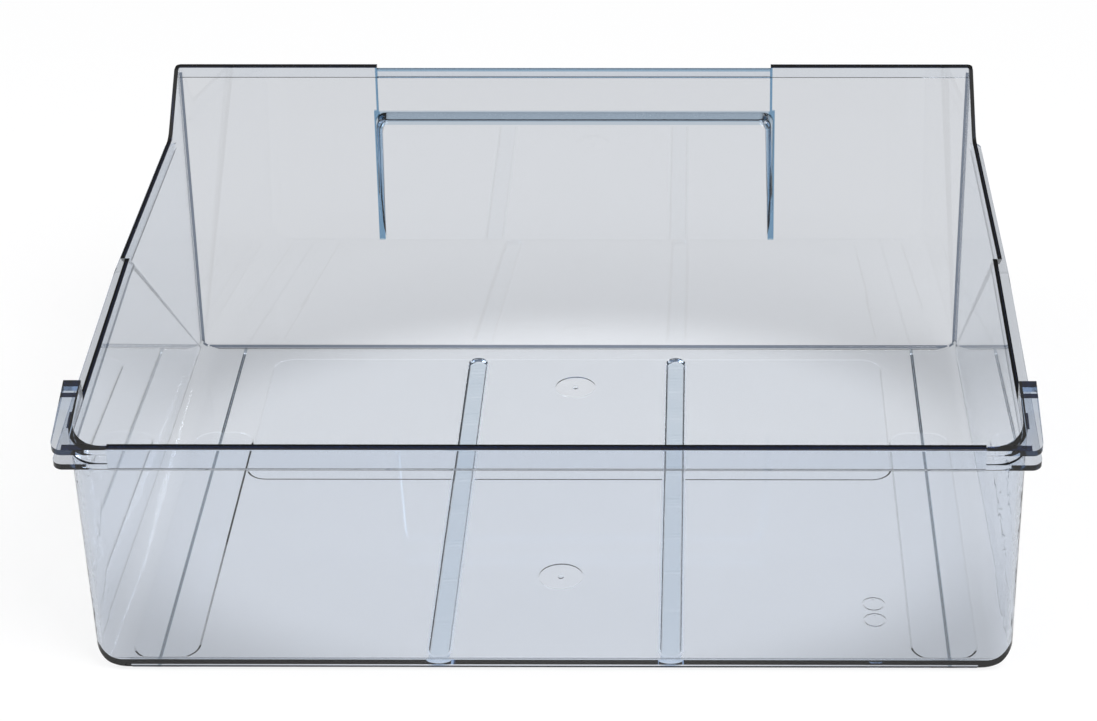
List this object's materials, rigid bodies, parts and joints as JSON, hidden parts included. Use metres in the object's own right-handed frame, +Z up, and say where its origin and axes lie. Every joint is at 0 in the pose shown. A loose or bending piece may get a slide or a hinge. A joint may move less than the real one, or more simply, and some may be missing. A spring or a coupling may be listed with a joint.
{
  "type": "freezer drawer",
  "caption": "Clear freezer drawer moulded in one piece: tall front wall with a recessed handle, stepped side rims, side rails, rear stop lugs and a low rear wall.",
  "frame": {"origin": "centre of the bounding box at the underside of the runners", "axes": "+X across the drawer, +Y from the handle wall to the low rear wall, +Z up"},
  "size_m": [0.3978, 0.2986, 0.1487],
  "materials": {
    "clear_plastic": "clear, glossy, faintly blue"
  },
  "bodies": {
    "root": {"drawer_tub": "clear_plastic"}
  },
  "joints": []
}
